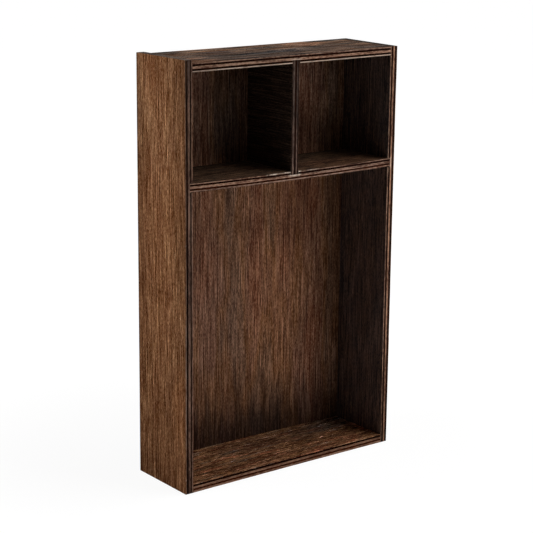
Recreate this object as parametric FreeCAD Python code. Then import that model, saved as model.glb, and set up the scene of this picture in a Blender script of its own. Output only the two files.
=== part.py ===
import FreeCAD, Part
import os

# Open-fronted standing display tray: seven boards of one five-ply sheet, housed and glued together.
# Millimetres. X runs left to right, Y from the open front (-Y) to the back, Z up.
# The origin is on the underside, in the middle of the width and the depth.

# Driving dimensions: the tray
WIDTH = 160.0
DEPTH = 50.0
HEIGHT = 260.0
SIDE_PROUD = 0.5  # the sides' upper ends stand this far above the top board
UPPER_ROOM = 64.7  # clear height of the two upper rooms, from the shelf to the top board
DIVIDER_PLACE = 0.0  # middle of the divider, to the right of the middle of the tray

# Driving dimensions: the sheet, from one face to the other face, core in the middle
FACE_PLY = 0.75
CROSSBAND = 1.35
CORE_PLY = 1.3
PLY_RECESS = 0.15  # plies cut across their grain lie this far below the others at a cut edge
ARRIS_RADIUS = 0.3  # sanding of the edges that show

# Driving dimensions: the housings
HOUSING_PLAY = 0.3  # a housing is this much wider than the board that stands in it
HEAD_PLAY = 0.2  # air over the divider's upper end

# Sizes and places that follow
PLIES = (FACE_PLY, CROSSBAND, CORE_PLY, CROSSBAND, FACE_PLY)
BOARD = sum(PLIES)
HOUSING_DEPTH = FACE_PLY + CROSSBAND
HOUSING_WIDTH = BOARD + HOUSING_PLAY

FRONT = -DEPTH / 2
REAR = DEPTH / 2
BACK_FACE = REAR - BOARD
ROOM_DEPTH = BACK_FACE - FRONT
SIDE_FACE = WIDTH / 2 - BOARD
ROOM_WIDTH = 2 * SIDE_FACE
FLOOR = BOARD
TOP_UPPER = HEIGHT - SIDE_PROUD
TOP_LOWER = TOP_UPPER - BOARD
SHELF_UPPER = TOP_LOWER - UPPER_ROOM
SHELF_LOWER = SHELF_UPPER - BOARD

TO_RIGHT = FreeCAD.Vector(1, 0, 0)
TO_BACK = FreeCAD.Vector(0, 1, 0)
UP = FreeCAD.Vector(0, 0, 1)

# Every second ply is a crossband. At an edge that runs along the face grain the crossbands are cut
# across their grain, and at an edge that runs across it the faces and the core are.
CROSSBANDS_RECESSED = 1
FACES_AND_CORE_RECESSED = 0


def cut_edge(place, inward, recessed):
    """Outline of a sawn edge, ply by ply, as pairs of thickness and depth."""
    outline = []
    reached = 0.0
    for number, ply in enumerate(PLIES):
        recess = PLY_RECESS if number % 2 == recessed else 0.0
        outline.append((reached, place + inward * recess))
        reached += ply
        outline.append((reached, place + inward * recess))
    return outline


def glued_edge(place):
    """Outline of an edge that is glued flat against another board."""
    return [(0.0, place), (BOARD, place)]


def on_line(edge, point, direction):
    """Whether a straight edge lies on the line through a point."""
    offset = edge.CenterOfMass - point
    return offset.cross(direction).Length < Part.Precision.confusion()


def board(corner, thickness, length, front_outline, rear_outline, eased):
    """A board: its section, from front to rear, drawn along its length, with eased long arrises.

    corner is where the section starts, thickness is the direction through the plies, length is the
    vector that the section is drawn along, and eased is the outlines whose arrises are sanded.
    """
    def place(point):
        return corner + thickness * point[0] + TO_BACK * point[1]

    section = [place(point) for point in front_outline + rear_outline[::-1]]
    solid = Part.Face(Part.makePolygon(section + section[:1])).extrude(length)
    arris_points = [place(point) for outline in eased for point in (outline[0], outline[-1])]
    arrises = [edge for edge in solid.Edges
               if any(on_line(edge, point, length) for point in arris_points)]
    return solid.makeFillet(ARRIS_RADIUS, arrises)


def side(outer_face, inward):
    """A side board, full height, with the shelf's housing across its inner face."""
    front_edge = cut_edge(FRONT, 1, CROSSBANDS_RECESSED)
    rear_edge = cut_edge(REAR, -1, CROSSBANDS_RECESSED)
    corner = TO_RIGHT * outer_face
    solid = board(corner, TO_RIGHT * inward, UP * HEIGHT, front_edge, rear_edge, (front_edge, rear_edge))
    groove_face = outer_face + inward * BOARD
    groove_bottom = groove_face - inward * HOUSING_DEPTH
    groove = Part.makeBox(HOUSING_DEPTH, ROOM_DEPTH, HOUSING_WIDTH,
                          FreeCAD.Vector(min(groove_face, groove_bottom), FRONT, SHELF_LOWER))
    return solid.cut(groove)


def divider_housing(lowest):
    """The cutter for a housing that the divider stands in, from its lowest height up."""
    return Part.makeBox(HOUSING_WIDTH, ROOM_DEPTH, HOUSING_DEPTH,
                        FreeCAD.Vector(DIVIDER_PLACE - HOUSING_WIDTH / 2, FRONT, lowest))


def level_board(lower_face):
    """A board that lies between the sides, from the front of the tray to its rear."""
    front_edge = cut_edge(FRONT, 1, CROSSBANDS_RECESSED)
    rear_edge = cut_edge(REAR, -1, CROSSBANDS_RECESSED)
    corner = FreeCAD.Vector(-SIDE_FACE, 0, lower_face)
    return board(corner, UP, TO_RIGHT * ROOM_WIDTH, front_edge, rear_edge, (front_edge, rear_edge))


def top_board():
    return level_board(TOP_LOWER).cut(divider_housing(TOP_LOWER))


def bottom_board():
    return level_board(FLOOR - BOARD)


def shelf():
    """The shelf: it reaches into the sides' housings and stops at the back board."""
    front_edge = cut_edge(FRONT, 1, CROSSBANDS_RECESSED)
    end = SIDE_FACE + HOUSING_DEPTH
    corner = FreeCAD.Vector(-end, 0, SHELF_LOWER)
    solid = board(corner, UP, TO_RIGHT * 2 * end, front_edge, glued_edge(BACK_FACE), (front_edge,))
    return solid.cut(divider_housing(SHELF_UPPER - HOUSING_DEPTH))


def divider():
    """The divider: it stands on the bottom of the shelf's housing, and its grain runs front to back."""
    front_edge = cut_edge(FRONT, 1, FACES_AND_CORE_RECESSED)
    foot = SHELF_UPPER - HOUSING_DEPTH
    head = TOP_LOWER + HOUSING_DEPTH - HEAD_PLAY
    corner = FreeCAD.Vector(DIVIDER_PLACE - BOARD / 2, 0, foot)
    return board(corner, TO_RIGHT, UP * (head - foot), front_edge, glued_edge(BACK_FACE), (front_edge,))


def back_board():
    """The back board: glued in all round, flush with the rear edges of the boards round it."""
    return Part.makeBox(ROOM_WIDTH, BOARD, TOP_LOWER - FLOOR,
                        FreeCAD.Vector(-SIDE_FACE, BACK_FACE, FLOOR))


NODES = {
    "left_side": side(-WIDTH / 2, 1),
    "right_side": side(WIDTH / 2, -1),
    "top_board": top_board(),
    "bottom_board": bottom_board(),
    "shelf": shelf(),
    "divider": divider(),
    "back_board": back_board(),
}

os.makedirs("parts", exist_ok=True)
for name, shape in NODES.items():
    shape.exportStep("parts/" + name + ".step")
    print(name, len(shape.Solids), "solid", round(shape.Volume / 1000, 2), "cm3")
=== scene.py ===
import math
import random
from collections import namedtuple

import bmesh
import bpy
from mathutils import Matrix, Vector, noise


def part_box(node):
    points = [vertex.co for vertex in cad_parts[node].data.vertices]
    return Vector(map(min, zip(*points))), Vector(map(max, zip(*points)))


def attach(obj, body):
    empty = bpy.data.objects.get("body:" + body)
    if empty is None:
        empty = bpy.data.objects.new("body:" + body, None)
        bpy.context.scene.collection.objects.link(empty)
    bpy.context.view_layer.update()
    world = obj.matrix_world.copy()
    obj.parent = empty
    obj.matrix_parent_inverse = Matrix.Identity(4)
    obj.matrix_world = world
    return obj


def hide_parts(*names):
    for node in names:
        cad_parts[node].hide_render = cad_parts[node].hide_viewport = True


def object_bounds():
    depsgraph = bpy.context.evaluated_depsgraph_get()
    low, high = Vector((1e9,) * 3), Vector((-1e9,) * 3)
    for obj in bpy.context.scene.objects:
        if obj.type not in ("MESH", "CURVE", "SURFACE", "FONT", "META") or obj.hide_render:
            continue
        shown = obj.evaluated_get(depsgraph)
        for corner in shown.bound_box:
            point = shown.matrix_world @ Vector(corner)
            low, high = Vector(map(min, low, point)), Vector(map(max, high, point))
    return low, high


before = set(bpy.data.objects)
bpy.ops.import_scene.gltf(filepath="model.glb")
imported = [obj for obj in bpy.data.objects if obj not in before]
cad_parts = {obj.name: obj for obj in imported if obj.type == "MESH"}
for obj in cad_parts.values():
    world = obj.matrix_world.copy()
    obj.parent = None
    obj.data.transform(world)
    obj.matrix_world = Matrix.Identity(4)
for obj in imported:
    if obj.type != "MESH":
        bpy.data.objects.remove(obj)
cad_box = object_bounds()

# Open-fronted standing display tray of stained five-ply plywood. Metres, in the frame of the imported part:
# X to the right, Y from the open front to the back, Z up, and the origin on the underside.

MM = 0.001
RIGHT = Vector((1, 0, 0))
REARWARD = Vector((0, 1, 0))
UP = Vector((0, 0, 1))

# Sizes read from the frame
LEFT_LOW, LEFT_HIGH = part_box("left_side")
RIGHT_LOW, RIGHT_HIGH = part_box("right_side")
TOP_LOW, TOP_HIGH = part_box("top_board")
BOTTOM_LOW, BOTTOM_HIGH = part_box("bottom_board")
SHELF_LOW, SHELF_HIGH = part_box("shelf")
DIVIDER_LOW, DIVIDER_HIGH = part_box("divider")
BACK_LOW, BACK_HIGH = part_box("back_board")
BOARD = LEFT_HIGH.x - LEFT_LOW.x
HOUSING_DEPTH = SHELF_HIGH.x - RIGHT_LOW.x
ROOM_DEPTH = SHELF_HIGH.y - SHELF_LOW.y

# The sheet, from one face to the other
FACE_PLY = 0.75 * MM
CROSSBAND = 1.35 * MM
CORE_PLY = BOARD - 2 * (FACE_PLY + CROSSBAND)
PLIES = (FACE_PLY, CROSSBAND, CORE_PLY, CROSSBAND, FACE_PLY)
CORE = 2
LAST_PLY = 4
HOUSING_PLAY = 0.3 * MM

# Cut edges
PLY_STEP = 0.06 * MM  # width of the step between two plies
LONG_GRAIN_DIP = 0.03 * MM
LONG_GRAIN_VARIES = 0.9
END_GRAIN_DIP = 0.17 * MM
END_GRAIN_VARIES = 0.45
PLY_HOLLOW = 1.05  # a ply's middle dips this many times as far as its sides
EDGE_WAVE = 0.06 * MM
END_EASE = 0.14 * MM

# Arrises, and where the stain has worn off
ARRIS_RADIUS = 0.3 * MM
ARRIS_VARIES = 0.35
ARRIS_STEPS = 3
ARRIS_IN_FACE_PLY = 0.85  # an arris takes no more than this share of the face ply
REAR_ARRIS_SHARE = 0.4
FINE_WEAR_SHARE = 0.5
USUAL_WEAR = 0.2
WORN_RANGE = (0.2, 0.9)
CHIP_PLACES = (0.02, 0.98)  # as shares of the length
CHIP_DEPTHS = (0.3, 1.0)  # as shares of the largest
CHIP_HALF_LENGTHS = (0.6, 1.8)  # in millimetres
CHIP_BARENESS = 0.5
CHIP_BARE_RANGE = (0.06 * MM, 0.3 * MM)
RUBBED_RANGE = (-0.9, 0.3)
RUB_FADE = 8 * MM
FADES_IN_SHORT_RUB = 6  # a short stretch fades out over a sixth of itself
PALE_MEAN = 0.75
PALE_VARIES = 0.5
MOUTH_RANGE = (0.2 * MM, 2.2 * MM)
SPLINTER_RANGE = (-0.7, 0.2)
SPLINTER_MIDDLE = 0.8  # bareness of the core's middle, as a share of that at its side

# Ripples along the boards: their length, and a number that sets each one's noise apart
Ripple = namedtuple("Ripple", "length number")
BROAD_WEAR = Ripple(14 * MM, 0)
FINE_WEAR = Ripple(4 * MM, 40)
RUBBED_GAPS = Ripple(5 * MM, 60)
PALE_PATCHES = Ripple(9 * MM, 70)
SAW_WAVE = Ripple(30 * MM, 80)
SPLINTERS = Ripple(1.1 * MM, 90)
END_GRAIN_FUZZ = Ripple(3 * MM, 0)
LONG_GRAIN_FUZZ = Ripple(6 * MM, 0)
SEED_STEPS = (7.31, 3.17)  # between the noise of one seed and the next
PLY_SEEDS = 11  # between the seed of one ply and the next

# Spacing of the meshes
STATION_STEP = 0.9 * MM  # between one section and the next
CLEAR_OF_WALL = 0.2 * MM  # no plain section is nearer to a housing's wall
FACE_SUPPORT = 1.4 * MM  # from an edge to the first line on the faces
SAME_PLACE = 1e-9
MERGE_DISTANCE = 0.002 * MM
SLIVER = 0.001 * MM

STILL = (Vector(), Vector(), Vector())

# Edges and arrises. These numbers also count in the seeds.
REAR, FRONT = 0, 1
NEAR_ARRIS, FAR_ARRIS = 0, 1

# What a stretch of a board's surface is, in the order of the board's materials
FACE, FAR_FACE, LONG_EDGE, END_EDGE, GROOVE, SAWN_END = range(6)

# Which plies are cut across their grain at the edges: those with odd or with even numbers
CROSSBANDS_END_GRAIN = 1
FACES_AND_CORE_END_GRAIN = 0


# Meshes of the boards

def rise(value, low, high):
    """0 below low, 1 above high and a smooth step between."""
    share = min(max((value - low) / (high - low), 0.0), 1.0)
    return share * share * (3 - 2 * share)


def within_tray(spot):
    """The spot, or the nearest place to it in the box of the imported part."""
    low, high = cad_box
    return Vector(min(max(value, least), most) for value, least, most in zip(spot, low, high))


class Board:
    """A plywood board, drawn from station to station along its length.

    corner is where the near face, the front edge and the start of the length meet. Its sections lie in
    the directions through (near face to far face) and across (front edge to rear edge), and along is its
    length. Housings are grooves in the far face, open at the front edge, as pairs of start and end along
    the length. Where a method takes front, it is FRONT for the front edge or REAR for the rear edge.
    """

    def __init__(self, name, corner, through, across, along, width, length, seed):
        self.name = name
        self.corner = corner
        self.through = through
        self.across = across
        self.along = along
        self.width = width
        self.length = length
        self.seed = seed
        self.plies = PLIES
        self.end_grain = CROSSBANDS_END_GRAIN
        self.pale_plies = {}
        self.worn = USUAL_WEAR
        self.front_warp = STILL
        self.rear_warp = STILL
        self.plain_front = False
        self.plain_rear = False
        self.housings = []
        self.mouth_wear = 0.0
        self.chips = []
        self.rubbed = []

    def ripple(self, kind, place, own=0):
        """Smooth noise from -1 to 1 along the board. own sets one use of a ripple apart from others."""
        seed = self.seed + kind.number + own
        return noise.noise(Vector((place / kind.length, seed * SEED_STEPS[0], seed * SEED_STEPS[1])))

    def scatter_chips(self, count, largest):
        """Small splinters along the front arrises, as place, arris, depth and half length."""
        draw = random.Random(self.seed)
        for _ in range(count):
            place = draw.uniform(*CHIP_PLACES) * self.length
            arris = draw.randrange(2)
            depth = draw.uniform(*CHIP_DEPTHS) * largest
            half_length = draw.uniform(*CHIP_HALF_LENGTHS) * MM
            self.chips.append((place, arris, depth, half_length))

    def chip_depth(self, front, arris, place):
        """How deep the chips in a front arris are."""
        if front == REAR:
            return 0.0
        return sum(depth * math.exp(-((place - spot) / half_length) ** 2)
                   for spot, side, depth, half_length in self.chips if side == arris)

    def rub(self, front, arris, place):
        """How far the stain is rubbed off a front arris, over the stretches named for the board."""
        if front == REAR:
            return 0.0
        broken = rise(self.ripple(RUBBED_GAPS, place), *RUBBED_RANGE)
        total = 0.0
        for side, start, end, amount in self.rubbed:
            fade = min(RUB_FADE, (end - start) / FADES_IN_SHORT_RUB)
            if side == arris:
                begun = rise(place, start, start + fade)
                ended = rise(place, end - fade, end)
                total += amount * broken * begun * (1 - ended)
        return total

    def arris(self, front, arris, place):
        """Radius of a long arris, and how bare of stain it is."""
        own = 2 * arris + front
        fine_wear = self.ripple(FINE_WEAR, place, own)
        wear = self.ripple(BROAD_WEAR, place, own) + FINE_WEAR_SHARE * fine_wear
        chip = self.chip_depth(front, arris, place)
        radius = ARRIS_RADIUS * (1 + ARRIS_VARIES * wear) + chip
        if front == REAR:
            radius *= REAR_ARRIS_SHARE
        bare = self.worn * rise(wear, *WORN_RANGE) + CHIP_BARENESS * rise(chip, *CHIP_BARE_RANGE)
        bare += self.rub(front, arris, place)
        face_ply = self.plies[LAST_PLY] if arris == FAR_ARRIS else self.plies[0]
        return min(radius, ARRIS_IN_FACE_PLY * face_ply), min(bare, 1.0)

    def warp(self, place, distance):
        """How far a point has moved as the board bent.

        The warps hold at the board's start, its middle and its end.
        """
        share = place / self.length
        weights = ((1 - share) * (1 - 2 * share), 4 * share * (1 - share), share * (2 * share - 1))
        to_rear = distance / self.width
        moves = [front.lerp(rear, to_rear) for front, rear in zip(self.front_warp, self.rear_warp)]
        return sum((move * weight for move, weight in zip(moves, weights)), Vector())

    def ply_dip(self, front, number, place):
        """How far a ply lies below the sawn edge."""
        own = PLY_SEEDS * number + front
        if number % 2 == self.end_grain:
            return END_GRAIN_DIP * (1 + END_GRAIN_VARIES * self.ripple(END_GRAIN_FUZZ, place, own))
        return LONG_GRAIN_DIP * (1 + LONG_GRAIN_VARIES * self.ripple(LONG_GRAIN_FUZZ, place, own))

    def pale_ply(self, front, number, place):
        """How bare of stain a ply of the front edge is."""
        amount = self.pale_plies.get(number, 0.0) if front == FRONT else 0.0
        return amount * (PALE_MEAN + PALE_VARIES * self.ripple(PALE_PATCHES, place, number))

    def near_housing(self, place):
        """1 at the mouth of a housing, falling to 0 a little way from it."""
        gaps = [max(start - place, place - end, 0.0) for start, end in self.housings]
        return max([1 - rise(gap, *MOUTH_RANGE) for gap in gaps], default=0.0)

    def splinter(self, place):
        """How bare of stain the core is at the mouth of a housing."""
        broken = rise(self.ripple(SPLINTERS, place), *SPLINTER_RANGE)
        return self.mouth_wear * self.near_housing(place) * broken

    def edge(self, front, plain, place):
        """Points of an edge from the near face to the far face: thickness, dip, bareness."""
        wave = EDGE_WAVE * (1 + self.ripple(SAW_WAVE, place, front)) / 2

        def dip_of(number):
            return 0.0 if plain else wave + self.ply_dip(front, number, place)

        near_radius, near_bare = self.arris(front, NEAR_ARRIS, place)
        far_radius, far_bare = self.arris(front, FAR_ARRIS, place)
        if plain:
            near_bare = 0.0
            far_bare = 0.0
        splinter = self.splinter(place) if front == FRONT else 0.0
        turns = [math.pi / 2 * step / ARRIS_STEPS for step in range(ARRIS_STEPS + 1)]
        first = dip_of(0)
        last = dip_of(LAST_PLY)
        points = [(near_radius * (1 - math.cos(turn)), first + near_radius * (1 - math.sin(turn)),
                   near_bare * math.sin(turn)) for turn in turns]
        reached = 0.0
        for number, ply in enumerate(self.plies):
            dip = dip_of(number)
            bare = self.pale_ply(front, number, place)
            middle_bare = max(bare, SPLINTER_MIDDLE * splinter) if number == CORE else bare
            if number > 0:
                points.append((reached + PLY_STEP, dip, bare))
                points.append((reached + ply / 2, dip * PLY_HOLLOW, middle_bare))
            reached += ply
            if number == CORE:
                bare = max(bare, splinter)
            if number < LAST_PLY:
                points.append((reached - PLY_STEP, dip, bare))
        # the far face ply ends in its arris, so its middle point gives way to the arris
        points.pop()
        last_bare = max(far_bare, self.pale_ply(front, LAST_PLY, place))
        points += [(BOARD - far_radius * (1 - math.cos(turn)), last + far_radius * (1 - math.sin(turn)),
                    last_bare * math.sin(turn)) for turn in reversed(turns)]
        return points

    def edge_kinds(self, plain):
        """What each stretch between two points of an edge is."""
        kinds = []
        for number in range(len(self.plies)):
            kind = END_EDGE if number % 2 == self.end_grain else LONG_EDGE
            stretches = 1 if number in (0, LAST_PLY) else 2
            kinds += [kind] * stretches
            if number < LAST_PLY:
                kinds.append(END_EDGE)
        if plain:
            kinds = [FACE] * len(kinds)
        return [FACE] * ARRIS_STEPS + kinds + [FAR_FACE] * ARRIS_STEPS

    def section(self, place, housed, inset):
        """One section: points as thickness, distance from the front and bareness, in ring order."""
        front = self.edge(FRONT, self.plain_front, place)
        rear = self.edge(REAR, self.plain_rear, place)
        ring = list(front)
        ring += [(BOARD, distance, 0.0) for distance in self.far_columns()]
        ring += [(depth, self.width - dip, bare) for depth, dip, bare in reversed(rear)]
        ring += [(0.0, distance, 0.0) for distance in self.near_columns()]
        if housed:
            ring = self.cut_housing(ring, self.splinter(place))
        return [(min(max(depth, inset), BOARD - inset), min(max(distance, inset), self.width - inset), bare)
                for depth, distance, bare in ring]

    def housing_stops_short(self):
        """Whether a housing ends at the back board, before the rear edge."""
        return bool(self.housings) and ROOM_DEPTH < self.width - MM

    def near_columns(self):
        """Where the near face has lines along its length, from the rear to the front."""
        return [self.width - FACE_SUPPORT, FACE_SUPPORT]

    def far_columns(self):
        """Where the far face has lines along its length, from the front to the rear."""
        housing_end = [ROOM_DEPTH, ROOM_DEPTH] if self.housing_stops_short() else []
        return [FACE_SUPPORT] + housing_end + [self.width - FACE_SUPPORT]

    def cut_housing(self, ring, splinter):
        """The section inside a housing: the far plies are gone, back to where the housing ends."""
        bottom = BOARD - HOUSING_DEPTH
        edge_count = len(self.edge(FRONT, self.plain_front, 0.0))
        last_cut = edge_count + 1 if self.housing_stops_short() else len(ring)
        core_dip = [dip for depth, dip, _ in ring[:edge_count] if depth < bottom][-1]
        cut = []
        for number, (depth, distance, bare) in enumerate(ring):
            if depth <= bottom or number > last_cut:
                cut.append((depth, distance, bare))
            elif number < edge_count:
                cut.append((bottom, core_dip, splinter))
            else:
                cut.append((bottom, distance, bare))
        return cut

    def stations(self):
        """Places along the length where a section is drawn, as place, housed and inset."""
        steps = max(2, round(self.length / STATION_STEP))
        walls = [wall for housing in self.housings for wall in housing]
        plain = [self.length * step / steps for step in range(1, steps)]
        plain = [place for place in plain if all(abs(place - wall) > CLEAR_OF_WALL for wall in walls)]
        listed = [(place, any(start < place < end for start, end in self.housings), 0.0)
                  for place in plain]
        for start, end in self.housings:
            listed += [(start, False, 0.0), (start, True, 0.0), (end, True, 0.0), (end, False, 0.0)]

        def rank(station):
            place, housed, _ = station
            leaving = any(abs(place - end) < SAME_PLACE for _, end in self.housings)
            return place, -int(housed) if leaving else int(housed)

        listed.sort(key=rank)
        start_end = [(0.0, False, END_EASE), (END_EASE, False, 0.0)]
        far_end = [(self.length - END_EASE, False, 0.0), (self.length, False, END_EASE)]
        return start_end + listed + far_end

    def ring(self, built, bare_layer, station):
        """The points of one section, in place."""
        place, housed, inset = station
        points = []
        for depth, distance, bare in self.section(place, housed, inset):
            spot = self.corner + self.through * depth + self.across * distance + self.along * place
            point = built.verts.new(within_tray(spot + self.warp(place, distance)))
            point[bare_layer] = bare
            points.append(point)
        return points

    def skin(self, built, rings, stations):
        """Faces from each section to the next, each with what it is."""
        far_faces = [FAR_FACE] * (len(self.far_columns()) + 1)
        near_faces = [FACE] * (len(self.near_columns()) + 1)
        rear_kinds = self.edge_kinds(self.plain_rear)[::-1]
        kinds = self.edge_kinds(self.plain_front) + far_faces + rear_kinds + near_faces
        for number in range(len(rings) - 1):
            this = rings[number]
            following = rings[number + 1]
            in_groove = stations[number][1] or stations[number + 1][1]
            for column, kind in enumerate(kinds):
                after = (column + 1) % len(kinds)
                face = built.faces.new((this[column], this[after], following[after], following[column]))
                face.material_index = GROOVE if in_groove and kind == FAR_FACE else kind

    def cap(self, built, ring):
        """Closes an end with one strip for each step of the edges."""
        edge_count = len(self.edge_kinds(self.plain_front)) + 1
        front = ring[:edge_count]
        rear_start = edge_count + len(self.far_columns())
        rear = ring[rear_start:rear_start + edge_count][::-1]
        for column in range(edge_count - 1):
            corners = [front[column], front[column + 1], rear[column + 1], rear[column]]
            if column == 0:
                corners += ring[rear_start + edge_count:]
            if column == edge_count - 2:
                corners[2:2] = ring[edge_count:rear_start]
            face = built.faces.new(corners)
            face.material_index = SAWN_END

    def mesh(self):
        """The board's mesh, with how bare of stain each of its points is."""
        built = bmesh.new()
        bare_layer = built.verts.layers.float.new("bare")
        stations = self.stations()
        rings = [self.ring(built, bare_layer, station) for station in stations]
        self.skin(built, rings, stations)
        for ring in (rings[0], rings[-1]):
            self.cap(built, ring)
        bmesh.ops.remove_doubles(built, verts=built.verts, dist=MERGE_DISTANCE)
        bmesh.ops.dissolve_degenerate(built, edges=built.edges, dist=SLIVER)
        bmesh.ops.recalc_face_normals(built, faces=built.faces)
        mesh = bpy.data.meshes.new(self.name)
        built.to_mesh(mesh)
        built.free()
        return mesh


# Materials

# Order of X, Y and Z that puts the grain first, then the two directions across it
GRAIN_UP = (2, 1, 0)
GRAIN_ACROSS_WIDTH = (0, 1, 2)
GRAIN_TO_BACK = (1, 2, 0)

# Noise along the grain: its length and width in millimetres, how far it moves the tone, where in the
# endless noise it is taken, and its detail and roughness
Figure = namedtuple("Figure", "length width weight place detail roughness",
                    defaults=(0.0, (0, 0, 0), 2.0, 0.5))
WANDER = Figure(80, 25, 2.0, detail=1.0)  # of the grain lines, in millimetres
RAGGED = Figure(26, 3.5, 1.2, detail=3.0)  # outlines of the stains
BARE_PATCHES = Figure(2.2, 0.5)
LINE = Figure(60, 0.24, 6.5, roughness=0.6)
STREAK = Figure(20, 0.22, 10.0, (31, 57, 11), roughness=0.6)
TICK = Figure(1.8, 0.3, 5.0, (77, 13, 29), detail=1.0)
PORE = Figure(10, 0.3, 0.6, (131, 17, 51), detail=1.0)
FIBRE = Figure(6, 0.36, place=(211, 37, 83), detail=1.0)
BAND = Figure(110, 8)
STRIPE_PLACE = (53, 71, 19)
PATCH_PLACE = (400, 90, 30)
EDGE_STREAK = Figure(16, 0.5, 1.2, detail=3.0)
EDGE_PATCH = Figure(24, 3.0, 1.2)
EDGE_TORN = Figure(2.6, 0.6, 1.6, (61, 23, 47))
END_DOTS = Figure(0.5, 0.5, 0.8, roughness=0.7)
END_PATCH = Figure(12, 4, 0.6)

BOARD_STEPS = (73.1, 45.7, 29.3)  # between the grain of one seed and the next
PORE_RANGE = (0.6, 0.74)
FIBRE_RANGE = (0.68, 0.78)
BARE_RANGE = (0.25, 0.5)
STAIN_RANGE = (0.4, 1.25)
ROUGHNESS_RANGE = (0.3, 0.7)
LONG_EDGE_TONE = 0.5
LONG_EDGE_RAMP = (0.2, 0.8)
END_EDGE_TONE = 0.38
END_EDGE_RAMP = (0.3, 0.8)
GRAIN_DEPTH = 0.1 * MM
BUMP_STRENGTH = 0.5
RAW_WOOD = (240, 219, 200)

# Sockets of Blender's mix node when it mixes colours
MIX_FIRST = 6
MIX_SECOND = 7
MIX_RESULT = 2


class Shader:
    """A material and short calls that add a node to it and give the node's output."""

    def __init__(self, name):
        self.material = bpy.data.materials.new(name)
        self.material.use_nodes = True
        self.tree = self.material.node_tree
        self.surface = self.tree.nodes["Principled BSDF"]

    def node(self, kind, values, **settings):
        made = self.tree.nodes.new(kind)
        for setting, value in settings.items():
            setattr(made, setting, value)
        for key, value in values.items():
            self.join(value, made.inputs[key])
        return made

    def join(self, value, socket):
        """Links a node's output to a socket, or sets the socket to a plain value."""
        if isinstance(value, bpy.types.NodeSocket):
            self.tree.links.new(value, socket)
        else:
            socket.default_value = value

    def math(self, operation, first, second=0.0):
        return self.node("ShaderNodeMath", {0: first, 1: second}, operation=operation).outputs[0]

    def stretch(self, vector, sizes):
        """A coordinate in millimetres, measured in features of the given sizes."""
        shares = tuple(1 / size for size in sizes)
        return self.node("ShaderNodeVectorMath", {0: vector, 1: shares}, operation="MULTIPLY").outputs[0]

    def shift(self, vector, offset):
        return self.node("ShaderNodeVectorMath", {0: vector, 1: offset}, operation="ADD").outputs[0]

    def grain_noise(self, grain, figure):
        """Noise from 0 to 1 on a coordinate that has the direction of the grain first."""
        moved = self.shift(grain, figure.place) if any(figure.place) else grain
        sizes = (figure.length, figure.width, figure.width)
        values = {"Vector": self.stretch(moved, sizes), "Scale": 1.0, "Detail": figure.detail,
                  "Roughness": figure.roughness}
        return self.node("ShaderNodeTexNoise", values).outputs[0]

    def fade(self, value, low, high, to_low=0.0, to_high=1.0):
        values = {"Value": value, "From Min": low, "From Max": high, "To Min": to_low, "To Max": to_high}
        return self.node("ShaderNodeMapRange", values, interpolation_type="SMOOTHSTEP").outputs[0]

    def ramp(self, value, stops):
        made = self.node("ShaderNodeValToRGB", {"Fac": value})
        elements = made.color_ramp.elements
        while len(elements) < len(stops):
            elements.new(0.5)
        for element, (place, colour) in zip(elements, stops):
            element.position = place
            element.color = linear(colour)
        return made.outputs[0]

    def mix(self, share, first, second, blend="MIX"):
        made = self.node("ShaderNodeMix", {0: share}, data_type="RGBA", blend_type=blend)
        self.join(first, made.inputs[MIX_FIRST])
        self.join(second, made.inputs[MIX_SECOND])
        return made.outputs[MIX_RESULT]


def linear(colour):
    """A colour given as screen values from 0 to 255, as Blender's linear values."""
    shares = [value / 255 for value in colour]
    return tuple(((share + 0.055) / 1.055) ** 2.4 if share > 0.04045 else share / 12.92
                 for share in shares) + (1.0,)


def millimetres(shader):
    """Place in the tray, in millimetres."""
    place = shader.node("ShaderNodeTexCoord", {}).outputs["Object"]
    return shader.node("ShaderNodeVectorMath", {0: place, "Scale": 1 / MM}, operation="SCALE").outputs[0]


def weighted(shader, start, terms):
    """start plus each noise's distance from its middle, times its weight."""
    total = start
    for value, weight in terms:
        centred = shader.math("SUBTRACT", value, 0.5)
        total = shader.math("ADD", shader.math("MULTIPLY", centred, weight), total)
    return total


def grain_coordinates(shader, order, seed):
    """Place on the board in millimetres, along the grain first, with a slow wander of the grain lines."""
    parts = shader.node("ShaderNodeSeparateXYZ", {0: millimetres(shader)}).outputs
    in_order = {number: parts[axis] for number, axis in enumerate(order)}
    ordered = shader.node("ShaderNodeCombineXYZ", in_order).outputs[0]
    moved = shader.shift(ordered, tuple(seed * step for step in BOARD_STEPS))
    wander = shader.grain_noise(moved, WANDER)
    sideways = shader.math("MULTIPLY", shader.math("SUBTRACT", wander, 0.5), WANDER.weight)
    drift = shader.node("ShaderNodeCombineXYZ", {1: sideways, 2: sideways}).outputs[0]
    return shader.shift(moved, drift)


def add_stains_and_painted_light(shader, colour, grain, stains):
    """Patches that tint the colour: places where the stain took differently, and painted shade and painted
    light.

    Each is a middle and a half size in millimetres, and a tint that multiplies the colour.
    """
    place = millimetres(shader)
    ragged = shader.grain_noise(grain, RAGGED)
    for middle, half_size, tint in stains:
        from_middle = shader.shift(place, tuple(-value for value in middle))
        in_halves = shader.stretch(from_middle, half_size)
        away = shader.node("ShaderNodeVectorMath", {0: in_halves}, operation="LENGTH").outputs["Value"]
        reach = weighted(shader, away, [(ragged, RAGGED.weight)])
        share = shader.fade(reach, *STAIN_RANGE, 1.0, 0.0)
        colour = shader.mix(share, colour, tint + (1.0,), blend="MULTIPLY")
    return colour


def add_bare_wood(shader, colour, grain):
    """Raw wood where an arris is worn or chipped."""
    bare = shader.node("ShaderNodeAttribute", {}, attribute_name="bare").outputs["Fac"]
    patchy = shader.grain_noise(grain, BARE_PATCHES)
    share = shader.math("MULTIPLY", bare, shader.fade(patchy, *BARE_RANGE))
    return shader.mix(share, colour, linear(RAW_WOOD))


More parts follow.
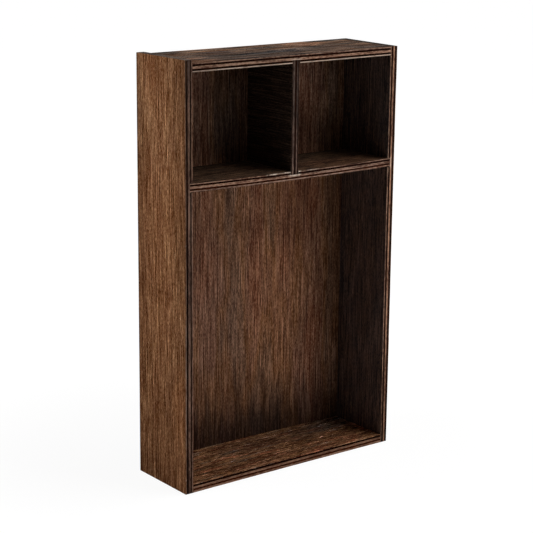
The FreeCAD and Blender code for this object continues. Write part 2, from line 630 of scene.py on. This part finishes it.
def finish_surface(shader, grain, colour, stains, rough_noise, roughness, height, gloss):
    """Adds tinted patches (stains, painted shade and painted light) and bare wood to a colour, and sets the
    surface with it.

    roughness is at the low and the high end of rough_noise, and height is the relief.
    """
    tinted_colour = add_stains_and_painted_light(shader, colour, grain, stains)
    shader.join(add_bare_wood(shader, tinted_colour, grain), shader.surface.inputs["Base Color"])
    rough = shader.fade(rough_noise, *ROUGHNESS_RANGE, *roughness)
    shader.join(rough, shader.surface.inputs["Roughness"])
    shader.surface.inputs["Specular IOR Level"].default_value = gloss
    relief = {"Height": height, "Distance": GRAIN_DEPTH, "Strength": BUMP_STRENGTH}
    bump = shader.node("ShaderNodeBump", relief).outputs[0]
    shader.join(bump, shader.surface.inputs["Normal"])


def face_material(name, order, seed, hues, pale, stains=(), mottle=(48, 15), contrast=1.0,
                  broad=(40, 2.2, 0.4), banding=0.7, stripes=(26, 0.6, 2.2), fibres=1.2,
                  paling=(0.1, 3.4, 0.75), doubling=(2.0, 2.0, 2.0), gloss=0.02):
    """Stained face veneer: fine straight lines, pores and ticks over patches of warmer and greyer colour.

    hues are stops of the colour over the patches: the stain's, and on the top board also a painted
    sheen. pale is the colour of the lightest fibres, and mottle is the patches' length and width. broad and
    stripes are the length, width and strength of the broader streaks and of the even stripes, banding is
    the strength of the broadest bands, and fibres is how far single raised fibres stand out. paling is
    where the fibres start to pale, where they are palest, and how far they turn pale there. doubling is how
    much red, green and blue grow with one step of tone.
    """
    shader = Shader(name)
    grain = grain_coordinates(shader, order, seed)
    broad_figure = Figure(*broad)
    stripe_figure = Figure(*stripes, place=STRIPE_PLACE, detail=0.0)
    patch_figure = Figure(*mottle, place=PATCH_PLACE)
    line = shader.grain_noise(grain, LINE)
    pore = shader.fade(shader.grain_noise(grain, PORE), *PORE_RANGE)
    tone = weighted(shader, 0.0, [
        (line, LINE.weight * contrast),
        (shader.grain_noise(grain, STREAK), STREAK.weight * contrast),
        (shader.grain_noise(grain, TICK), TICK.weight * contrast),
        (shader.grain_noise(grain, stripe_figure), stripe_figure.weight * contrast),
        (shader.grain_noise(grain, broad_figure), broad_figure.weight),
        (shader.grain_noise(grain, BAND), banding),
    ])
    tone = shader.math("SUBTRACT", tone, shader.math("MULTIPLY", pore, PORE.weight * contrast))
    raised = shader.fade(shader.grain_noise(grain, FIBRE), *FIBRE_RANGE, 0.0, fibres)
    tone = shader.math("ADD", tone, raised)
    growth = {channel: shader.math("POWER", base, tone) for channel, base in enumerate(doubling)}
    tint = shader.node("ShaderNodeCombineXYZ", growth).outputs[0]
    hue = shader.ramp(shader.grain_noise(grain, patch_figure), hues)
    colour = shader.node("ShaderNodeVectorMath", {0: hue, 1: tint}, operation="MULTIPLY").outputs[0]
    brightness = shader.math("POWER", 2.0, tone)
    paling_start, palest, palest_share = paling
    paled = shader.fade(shader.math("MULTIPLY", tone, brightness), paling_start, palest, 0.0, palest_share)
    colour = shader.mix(paled, colour, linear(pale))
    height = shader.math("SUBTRACT", line, shader.math("MULTIPLY", pore, PORE.weight))
    finish_surface(shader, grain, colour, stains, rough_noise=line, roughness=(0.72, 0.58), height=height,
                   gloss=gloss)
    return shader.material


def long_edge_material(name, order, seed, dark, light, stains=()):
    """Sawn edge of a ply cut along its grain: pale, with long streaks and short torn places."""
    shader = Shader(name)
    grain = grain_coordinates(shader, order, seed)
    streak = shader.grain_noise(grain, EDGE_STREAK)
    patch = shader.grain_noise(grain, EDGE_PATCH)
    torn = shader.grain_noise(grain, EDGE_TORN)
    tone = weighted(shader, LONG_EDGE_TONE, [(streak, EDGE_STREAK.weight), (patch, EDGE_PATCH.weight),
                                             (torn, EDGE_TORN.weight)])
    colour = shader.ramp(tone, list(zip(LONG_EDGE_RAMP, (dark, light))))
    finish_surface(shader, grain, colour, stains, rough_noise=streak, roughness=(0.72, 0.6), height=streak,
                   gloss=0.06)
    return shader.material


def end_edge_material(name, order, seed, dark, light, stains=()):
    """Sawn edge of a ply cut across its grain: soaked with stain, open and fuzzy."""
    shader = Shader(name)
    grain = grain_coordinates(shader, order, seed)
    dots = shader.grain_noise(grain, END_DOTS)
    patch = shader.grain_noise(grain, END_PATCH)
    tone = weighted(shader, END_EDGE_TONE, [(dots, END_DOTS.weight), (patch, END_PATCH.weight)])
    colour = shader.ramp(tone, list(zip(END_EDGE_RAMP, (dark, light))))
    finish_surface(shader, grain, colour, stains, rough_noise=dots, roughness=(0.9, 0.8), height=dots,
                   gloss=0.03)
    return shader.material


# Boards

def side_board(name, low, high, inward, seed):
    """A side, from its outer face inward, with the shelf's housing in its inner face."""
    outer = low.x if inward.x > 0 else high.x
    board = Board(name, Vector((outer, low.y, low.z)), inward, REARWARD, UP,
                  high.y - low.y, high.z - low.z, seed)
    board.housings = [(SHELF_LOW.z - low.z, SHELF_HIGH.z + HOUSING_PLAY - low.z)]
    return board


def level_board(name, low, high, through, seed):
    """A board that lies between the sides, from its lower face up or from its upper face down."""
    near = low.z if through.z > 0 else high.z
    return Board(name, Vector((low.x, low.y, near)), through, REARWARD, RIGHT,
                 high.y - low.y, high.x - low.x, seed)


def divider_housing(start):
    """Where the divider's housing starts and ends along a board that starts at the given place."""
    middle = (DIVIDER_LOW.x + DIVIDER_HIGH.x) / 2 - start
    half = (BOARD + HOUSING_PLAY) / 2
    return middle - half, middle + half


left_side = side_board("left_side_board", LEFT_LOW, LEFT_HIGH, RIGHT, seed=1)
right_side = side_board("right_side_board", RIGHT_LOW, RIGHT_HIGH, -RIGHT, seed=2)
top = level_board("top_board_ply", TOP_LOW, TOP_HIGH, -UP, seed=3)
top.housings = [divider_housing(TOP_LOW.x)]
bottom = level_board("bottom_board_ply", BOTTOM_LOW, BOTTOM_HIGH, UP, seed=4)
shelf = level_board("shelf_board", SHELF_LOW, SHELF_HIGH, UP, seed=5)
shelf.housings = [divider_housing(SHELF_LOW.x)]
shelf.plain_rear = True
divider = Board("divider_board", DIVIDER_LOW.copy(), RIGHT, REARWARD, UP,
                DIVIDER_HIGH.y - DIVIDER_LOW.y, DIVIDER_HIGH.z - DIVIDER_LOW.z, seed=6)
divider.end_grain = FACES_AND_CORE_END_GRAIN
divider.plain_rear = True
back = Board("back_board_ply", BACK_LOW.copy(), REARWARD, RIGHT, UP,
             BACK_HIGH.x - BACK_LOW.x, BACK_HIGH.z - BACK_LOW.z, seed=7)
back.plain_front = True
back.plain_rear = True


# Bends, plies and wear that the photograph shows

def bend(*moves):
    """A warp at a board's start, middle and end.

    Each move names a direction and how many millimetres the three places have gone that way.
    """
    return tuple(sum((move[0] * move[stop] * MM for move in moves), Vector()) for stop in (1, 2, 3))


def sheet(*parts):
    """Plies of a board, near face first, in the given proportions."""
    return tuple(part * BOARD / sum(parts) for part in parts)


def add_rubs(board, rubs):
    """Rubbed stretches of a far arris: start and end in millimetres from the board's middle, and amount."""
    middle = board.length / 2
    for start, end, amount in rubs:
        board.rubbed.append((FAR_ARRIS, middle + start * MM, middle + end * MM, amount))


def add_chips(board, chips):
    """Chips in a far arris: place from the board's middle, depth and half length, in millimetres."""
    middle = board.length / 2
    for place, depth, half_length in chips:
        board.chips.append((middle + place * MM, FAR_ARRIS, depth * MM, half_length * MM))


left_side.front_warp = bend((RIGHT, 0.3, 0.4, 0.0))
right_side.front_warp = bend((RIGHT, 0.6, -0.1, -0.1), (UP, 0.0, 0.0, -0.6))
top.front_warp = bend((UP, -1.2, -0.65, -0.1))
top.rear_warp = bend((UP, -0.42, -0.1, 0.45))
bottom.front_warp = bend((RIGHT, 0.3, 0.0, 0.6), (UP, 0.0, 0.15, 0.0))
bottom.rear_warp = bend((UP, 1.3, 1.25, 0.3))
shelf.front_warp = bend((UP, 0.2, -0.55, 0.25))
divider.front_warp = bend((UP, -0.5, -0.5, -0.5), (RIGHT, -0.15, -0.15, -0.15))
back.front_warp = bend((UP, 1.3, 0.0, -0.42))
back.rear_warp = bend((UP, 0.3, 0.0, 0.45))

left_side.plies = sheet(0.75, 1.2, 1.6, 0.75, 1.2)
right_side.plies = sheet(0.5, 1.6, 1.25, 1.45, 0.7)
top.plies = sheet(0.95, 1.1, 1.5, 1.2, 0.75)
shelf.plies = sheet(1.15, 0.95, 1.5, 1.1, 0.8)
bottom.plies = sheet(1.6, 0.95, 1.4, 1.25, 0.3)
divider.plies = sheet(0.7, 1.4, 1.35, 0.95, 1.1)
top.pale_plies = {LAST_PLY: 0.5}

LARGEST_SPLINTER = 0.2 * MM
for board, count in ((left_side, 5), (right_side, 5), (top, 3), (bottom, 3), (shelf, 2), (divider, 1)):
    board.scatter_chips(count, LARGEST_SPLINTER)

divider.worn = 0.03
right_side.mouth_wear = 0.3
top.mouth_wear = 0.3
shelf.mouth_wear = 0.8
left_side.rubbed.append((NEAR_ARRIS, 24 * MM, 112 * MM, 0.28))
left_side.chips.append((9.3 * MM, NEAR_ARRIS, 0.25 * MM, 0.7 * MM))
add_rubs(shelf, ((-19.5, -12.5, 0.75), (-13.5, -6.0, 0.3), (-8.0, -2.8, 0.75), (2.6, 5.0, 0.6),
                 (9.0, 18.0, 0.3)))
add_chips(shelf, ((-20.8, 0.25, 0.9), (-15.0, 0.3, 1.8), (-4.6, 0.35, 1.2), (3.6, 0.4, 0.8),
                  (12.5, 0.2, 0.9)))
add_chips(bottom, ((-68.1, 0.25, 0.9), (-53.0, 0.25, 0.8), (-28.0, 0.35, 0.7)))

# Tinted patches, as middle and half size in millimetres, and tint: stains, painted shade, painted light

side_stains = [
    ((0, 0, -10), (400, 400, 90), (0.85, 0.83, 0.82)),
    ((0, 0, 230), (400, 60, 55), (1.03, 1.06, 1.1)),
    ((-80, 0, 170), (60, 16, 110), (1.13, 1.13, 1.13)),
    ((-80, -20, 245), (60, 8, 26), (0.78, 0.76, 0.75)),
    ((-80, 24, 150), (60, 9, 110), (0.8, 0.78, 0.77)),
    ((-80, 9, 240), (40, 7, 24), (1.22, 1.22, 1.22)),
    ((-80, -20, 158), (60, 8, 40), (0.8, 0.78, 0.76)),
    ((-80, -20, 50), (60, 9, 30), (1.2, 1.17, 1.14)),
    ((-80, -25, 130), (40, 3, 400), (0.8, 0.8, 0.8)),
    ((-80, 25.5, 130), (40, 2, 400), (0.55, 0.54, 0.53)),
]
inner_corner_shade = [
    # painted shade: darker along the right side's inner face where it meets the back
    ((75, 20, 100), (10, 5, 150), (0.6, 0.6, 0.64)),
]
back_stains_shade_and_light = [
    # painted shade: darker down the back's right corner, where it meets the right side
    ((75, 20, 95), (4, 30, 150), (0.6, 0.6, 0.62)),
    # painted shade: this patch and the next darken the foot of the back, which the bottom board shades
    ((0, 20, 0), (300, 30, 42), (0.5, 0.52, 0.56)),
    ((-10, 20, 4), (60, 30, 24), (0.48, 0.5, 0.56)),
    ((18, 20, 85), (20, 30, 80), (1.07, 1.03, 0.97)),
    ((-28, 20, 85), (24, 30, 60), (0.92, 0.96, 1.03)),
    ((36, 20, 165), (18, 30, 50), (0.82, 0.75, 0.7)),
    ((-26, 20, 48), (36, 30, 16), (0.82, 0.8, 0.78)),
    # painted light: lighter low in the back's right corner, which lies in the right side's shadow
    ((56, 20, 34), (26, 30, 40), (1.4, 1.45, 1.55)),
    # painted shade: darker in the right half of the upper left room, in the divider's shadow
    ((-14, 20, 226), (18, 30, 40), (0.6, 0.62, 0.66)),
    # painted shade: darker along the top of the back, under the top board
    ((0, 20, 258), (300, 30, 28), (0.74, 0.72, 0.74)),
    ((0, 20, 222), (300, 30, 44), (1.04, 1.2, 1.36)),
]
# partly painted sheen: the light and the greyish dark patches on the top stand in for sheen over a patchy
# stain
top_stains_and_sheen = [
    ((-22, -14, 260), (46, 15, 60), (0.56, 0.67, 0.8)),
    ((62, -17, 260), (16, 9, 60), (0.7, 0.78, 0.9)),
    ((36, -6, 260), (16, 7, 60), (0.6, 0.68, 0.78)),
    ((12, -5, 260), (14, 8, 60), (1.8, 1.7, 1.66)),
    ((-36, 6, 260), (16, 7, 60), (0.7, 0.72, 0.8)),
    ((-14, 9, 260), (14, 8, 60), (1.5, 1.42, 1.32)),
    ((-38, 20, 260), (18, 9, 60), (2.0, 1.88, 1.72)),
    ((-62, 18, 260), (13, 9, 60), (0.8, 0.83, 0.86)),
    ((36, 15, 260), (16, 13, 60), (2.1, 1.9, 1.75)),
    ((64, 10, 260), (14, 14, 60), (1.1, 1.12, 1.12)),
    ((-64, -14, 260), (14, 14, 60), (1.6, 1.56, 1.54)),
]
shelf_stains = [
    ((42, -16, 189), (45, 14, 8), (1.28, 1.15, 1.1)),
]
floor_stains_shade_and_light = [
    # painted light: a cooler, greyer tint in the shaded right-rear corner of the floor, as a cool fill
    # would give
    ((66, 14, 5), (24, 18, 30), (1.0, 1.4, 2.0)),
    # painted shadow: darker where the right side shades the floor
    ((42, 6, 5), (16, 8, 30), (0.7, 0.78, 0.9)),
    # painted shade: darker towards the rear of the floor
    ((8, 10, 5), (44, 14, 30), (0.74, 0.76, 0.82)),
    ((-10, -18, 5), (50, 6, 30), (0.8, 0.78, 0.8)),
    ((10, -25, 5), (80, 2.2, 30), (1.6, 1.65, 1.75)),
    # painted light: lighter along the foot of the back, against the shade in that corner
    ((-10, 20, 5), (60, 3, 30), (1.6, 1.6, 1.5)),
    # painted light: lighter along the foot of the right side, against the side's shadow
    ((75, 0, 5), (4, 26, 30), (1.9, 1.9, 2.0)),
    ((-6, 3, 5), (70, 6, 30), (0.8, 0.82, 0.86)),
]
left_end_stains = [
    ((-77, 14, 260), (20, 16, 60), (0.45, 0.45, 0.48)),
]
left_long_stains = [
    ((-79, -25, 262), (3.5, 40, 30), (0.5, 0.54, 0.58)),
    ((-77, -25, 212), (6, 40, 26), (0.8, 0.8, 0.76)),
    ((-77, -25, 25), (6, 40, 60), (1.3, 1.3, 1.3)),
]
left_crossband_stains = [
    ((-79, -25, 262), (3.5, 40, 30), (2.6, 4.0, 6.0)),
]
right_long_stains = [
    ((74.8, -25, 130), (1.1, 40, 300), (1.4, 1.5, 1.55)),
    ((80, -25, 130), (0.9, 40, 300), (0.5, 0.46, 0.42)),
]
level_long_stains = [
    ((0, -25, 183.5), (200, 40, 1.7), (0.72, 0.74, 0.8)),
    ((0, -25, 259.2), (120, 40, 1.2), (0.82, 0.9, 1.0)),
    ((32, -25, 187.5), (54, 40, 3.2), (0.72, 0.76, 0.82)),
    ((-34, -25, 257), (50, 40, 4), (0.84, 0.88, 0.9)),
]
level_crossband_stains = [
    ((0, -25, 185.2), (200, 40, 0.9), (2.4, 2.0, 1.8)),
    ((0, -25, 2.1), (200, 40, 0.9), (5.2, 3.5, 2.3)),
]
divider_long_stains = [
    ((0, -25, 202), (6, 40, 16), (1.5, 1.5, 1.55)),
    ((0, -25, 236), (6, 40, 24), (0.6, 0.64, 0.68)),
]

# Finishes of the faces and the sawn edges

side_face = face_material(
    "side_face", GRAIN_UP, seed=1,
    hues=[(0.34, (115, 65, 30)), (0.46, (117, 68, 32)), (0.56, (119, 71, 34)), (0.68, (115, 68, 34))],
    pale=(190, 160, 132), stains=side_stains, contrast=1.14, broad=(30, 1.5, 1.4), banding=0.8,
    stripes=(30, 0.75, 1.4), paling=(-0.5, 2.0, 0.35), doubling=(1.82, 2.1, 2.5))
# painted shade: a darker, greyer copy of the side's colour for the right side's inner face, which lies in
# shade
side_inner_shaded = face_material(
    "side_inner_shaded", GRAIN_UP, seed=6,
    hues=[(0.34, (64, 52, 47)), (0.5, (71, 59, 56)), (0.66, (67, 59, 58))],
    pale=(136, 104, 84), stains=inner_corner_shade, contrast=0.95, gloss=0.035)
back_face = face_material(
    "back_face", GRAIN_UP, seed=2,
    hues=[(0.35, (100, 58, 39)), (0.45, (104, 69, 52)), (0.55, (108, 69, 42)), (0.66, (95, 67, 51))],
    pale=(176, 134, 104), stains=back_stains_shade_and_light, mottle=(90, 13), contrast=0.9, broad=(40, 2.2, 0.2),
    banding=0.5, stripes=(40, 0.75, 1.0), fibres=1.6, doubling=(1.95, 2.02, 2.12), gloss=0.035)
plain_face = face_material(
    "plain_face", GRAIN_UP, seed=9,
    hues=[(0.35, (98, 60, 41)), (0.45, (102, 68, 50)), (0.55, (105, 68, 43)), (0.66, (96, 66, 49))],
    pale=(176, 136, 106), mottle=(90, 13), contrast=0.95, broad=(40, 2.2, 0.6), banding=1.2,
    stripes=(40, 0.75, 1.0), doubling=(1.95, 2.02, 2.12), gloss=0.035)
# partly painted sheen: the grey hues stand in for the sheen of light on the top, over brown stain; its
# gloss is 0
top_face = face_material(
    "top_face", GRAIN_ACROSS_WIDTH, seed=3,
    hues=[(0.37, (66, 62, 61)), (0.46, (78, 68, 62)), (0.54, (110, 78, 59)), (0.64, (76, 71, 69))],
    pale=(160, 134, 114), stains=top_stains_and_sheen, mottle=(60, 8), contrast=0.9, broad=(20, 3.0, 5.0),
    banding=3.5, gloss=0.0)
level_face = face_material(
    "level_face", GRAIN_ACROSS_WIDTH, seed=4,
    hues=[(0.37, (94, 41, 22)), (0.46, (79, 50, 31)), (0.55, (92, 52, 24)), (0.65, (60, 46, 37))],
    pale=(150, 114, 82), stains=floor_stains_shade_and_light, mottle=(26, 2.6), contrast=1.75, broad=(5, 0.6, 12),
    banding=1.2, doubling=(1.9, 2.03, 2.18))
# painted shade: a much darker copy of the floor board's colour for the shelf, which lies in the shade of
# the upper rooms
shaded_shelf_face = face_material(
    "shaded_shelf_face", GRAIN_ACROSS_WIDTH, seed=8,
    hues=[(0.34, (41, 27, 21)), (0.5, (48, 34, 25)), (0.66, (43, 33, 27))],
    pale=(104, 80, 60), stains=shelf_stains, mottle=(40, 7), broad=(9, 1.0, 7.0))
# partly a darker stain and partly painted shade: very dark, for the divider's faces in shade
divider_face_stain_and_shade = face_material(
    "divider_face_stain_and_shade", GRAIN_TO_BACK, seed=5,
    hues=[(0.34, (42, 31, 25)), (0.5, (50, 38, 31)), (0.66, (46, 38, 34))],
    pale=(92, 74, 62))

left_long = long_edge_material(
    "left_long_edge", GRAIN_UP, seed=11, dark=(62, 42, 34), light=(128, 98, 82), stains=left_long_stains)
right_long = long_edge_material(
    "right_long_edge", GRAIN_UP, seed=18, dark=(78, 50, 37), light=(172, 130, 104),
    stains=right_long_stains)
level_long = long_edge_material(
    "level_long_edge", GRAIN_ACROSS_WIDTH, seed=12, dark=(84, 53, 39), light=(180, 140, 116),
    stains=level_long_stains)
foot_long = long_edge_material(
    "foot_long_edge", GRAIN_ACROSS_WIDTH, seed=15, dark=(102, 66, 48), light=(174, 132, 106))
divider_long = long_edge_material(
    "divider_long_edge", GRAIN_UP, seed=13, dark=(50, 38, 32), light=(108, 86, 74),
    stains=divider_long_stains)
end_edge = end_edge_material(
    "end_edge", GRAIN_UP, seed=14, dark=(14, 4, 1), light=(54, 23, 10))
left_end = end_edge_material(
    "left_end_edge", GRAIN_UP, seed=16, dark=(16, 6, 2), light=(58, 28, 14), stains=left_crossband_stains)
level_end = end_edge_material(
    "level_end_edge", GRAIN_UP, seed=19, dark=(14, 4, 1), light=(54, 23, 10),
    stains=level_crossband_stains)
# painted sheen: pale grey end grain for the left side's top end, where light glances off it
left_sawn_end_sheen = end_edge_material(
    "left_sawn_end_sheen", GRAIN_ACROSS_WIDTH, seed=20, dark=(86, 72, 62), light=(176, 156, 142),
    stains=left_end_stains)
# partly painted sheen: greyish brown end grain for the sawn ends, greyed as the sheen would grey them
sawn_end = end_edge_material(
    "sawn_end", GRAIN_ACROSS_WIDTH, seed=17, dark=(30, 22, 18), light=(92, 72, 60))


def make_board(board, node, materials):
    """Adds a board to the scene. Its materials go from the near face to the sawn ends."""
    piece = bpy.data.objects.new(board.name, board.mesh())
    bpy.context.scene.collection.objects.link(piece)
    for material in materials:
        piece.data.materials.append(material)
    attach(piece, "root")
    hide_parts(node)


make_board(left_side, "left_side",
           (side_face, plain_face, left_long, left_end, end_edge, left_sawn_end_sheen))
make_board(right_side, "right_side",
           (side_face, side_inner_shaded, right_long, end_edge, end_edge, sawn_end))
make_board(top, "top_board",
           (top_face, shaded_shelf_face, level_long, end_edge, end_edge, sawn_end))
make_board(bottom, "bottom_board",
           (level_face, level_face, foot_long, level_end, end_edge, sawn_end))
make_board(shelf, "shelf",
           (shaded_shelf_face, shaded_shelf_face, level_long, level_end, end_edge, sawn_end))
make_board(divider, "divider",
           (divider_face_stain_and_shade, divider_face_stain_and_shade, divider_long, end_edge, end_edge, sawn_end))
make_board(back, "back_board",
           (back_face, plain_face, right_long, end_edge, end_edge, sawn_end))


# Floor, light and camera

FLOOR_REACH = 4.0
FLOOR_COLOUR = (0.85, 0.85, 0.85, 1)
FLOOR_COLOUR_SEEN = (0.12, 0.12, 0.12, 1)
FLOOR_ROUGHNESS = 0.9
LIFT_DISTANCES = (0.1, 0.4)  # from the tray
LIFTS = (0.93, 1.0)  # how white the floor is seen there
WHITE = (1, 1, 1, 1)
AMBIENT = 0.01
AIM = Vector((0, 0, cad_box[1].z / 2))

CAMERA_AZIMUTH = -37.402
CAMERA_ELEVATION = 13.893
CAMERA_ROLL = 0.598
CAMERA_PLACE = Vector((-0.57438, -0.74912, 0.35824))
CAMERA_LENS = 105.45
SENSOR_WIDTH = 36


def make_floor():
    """A wide pale floor, which the camera sees almost white, with the tray's shadow on it."""
    reach = FLOOR_REACH
    corners = [(-reach, -reach, 0), (reach, -reach, 0), (reach, reach, 0), (-reach, reach, 0)]
    mesh = bpy.data.meshes.new("floor")
    mesh.from_pydata(corners, [], [(0, 1, 2, 3)])
    floor = bpy.data.objects.new("floor", mesh)
    bpy.context.scene.collection.objects.link(floor)
    shader = Shader("pale_floor")
    rays = shader.node("ShaderNodeLightPath", {}).outputs
    seen = shader.math("MAXIMUM", rays["Is Camera Ray"], rays["Is Glossy Ray"])
    seen = shader.math("MAXIMUM", seen, rays["Is Transmission Ray"])
    place = shader.node("ShaderNodeTexCoord", {}).outputs["Object"]
    away = shader.node("ShaderNodeVectorMath", {0: place}, operation="LENGTH").outputs["Value"]
    lift = shader.fade(away, *LIFT_DISTANCES, *LIFTS)
    colour = shader.mix(seen, FLOOR_COLOUR, FLOOR_COLOUR_SEEN)
    shader.join(colour, shader.surface.inputs["Base Color"])
    shader.surface.inputs["Roughness"].default_value = FLOOR_ROUGHNESS
    shader.surface.inputs["Specular IOR Level"].default_value = 0.0
    shader.surface.inputs["Emission Color"].default_value = WHITE
    shader.join(shader.math("MULTIPLY", seen, lift), shader.surface.inputs["Emission Strength"])
    mesh.materials.append(shader.material)


def make_world():
    """White where the camera looks past the floor, and next to no light on the tray."""
    world = bpy.data.worlds.new("studio")
    bpy.context.scene.world = world
    world.use_nodes = True
    tree = world.node_tree
    rays = tree.nodes.new("ShaderNodeLightPath")
    background = tree.nodes["Background"]
    last = None
    for ray in ("Is Camera Ray", "Is Glossy Ray", "Is Transmission Ray"):
        larger = tree.nodes.new("ShaderNodeMath")
        larger.operation = "MAXIMUM"
        larger.inputs[1].default_value = AMBIENT
        if last:
            tree.links.new(last, larger.inputs[1])
        tree.links.new(rays.outputs[ray], larger.inputs[0])
        last = larger.outputs[0]
    background.inputs["Color"].default_value = WHITE
    tree.links.new(last, background.inputs["Strength"])


def direction(azimuth, elevation):
    """From the tray towards a place round it. Azimuth 0 is straight in front, and 90 is to the right."""
    turn = math.radians(azimuth)
    lift = math.radians(elevation)
    return Vector((math.sin(turn) * math.cos(lift), -math.cos(turn) * math.cos(lift), math.sin(lift)))


def add_lamp(name, place, towards, size, power):
    data = bpy.data.lights.new(name, "AREA")
    data.shape = "RECTANGLE"
    data.size, data.size_y = size
    data.energy = power
    lamp = bpy.data.objects.new(name, data)
    lamp.location = place
    lamp.rotation_mode = "QUATERNION"
    lamp.rotation_quaternion = towards.to_track_quat("-Z", "Y")
    lamp.visible_camera = False
    bpy.context.scene.collection.objects.link(lamp)


def add_soft_box(name, azimuth, elevation, distance, size, power):
    """A lamp that is turned to the middle of the tray."""
    out = direction(azimuth, elevation)
    add_lamp(name, AIM + out * distance, -out, size, power)


def make_camera():
    data = bpy.data.cameras.new("camera")
    data.sensor_width = SENSOR_WIDTH
    data.lens = CAMERA_LENS
    camera = bpy.data.objects.new("camera", data)
    backward = direction(CAMERA_AZIMUTH, CAMERA_ELEVATION)
    level = UP.cross(backward).normalized()
    turn = Matrix((level, backward.cross(level), backward)).transposed().to_4x4()
    roll = Matrix.Rotation(math.radians(CAMERA_ROLL), 4, "Z")
    camera.matrix_world = Matrix.Translation(CAMERA_PLACE) @ turn @ roll
    bpy.context.scene.collection.objects.link(camera)
    bpy.context.scene.camera = camera


make_floor()
make_world()
add_soft_box("upper_right_box", azimuth=54, elevation=50, distance=1.2, size=(1.0, 0.45), power=10.6)
add_soft_box("left_box", azimuth=-104, elevation=25, distance=0.7, size=(0.35, 0.35), power=1.55)
add_lamp("front_card", Vector((0.28, -0.28, 0.004)), UP, size=(0.3, 0.4), power=1.8)
add_lamp("left_card", Vector((-0.4, 0.1, 0.004)), UP, size=(0.4, 0.6), power=0.22)
make_camera()
bpy.context.scene.view_settings.view_transform = "Standard"
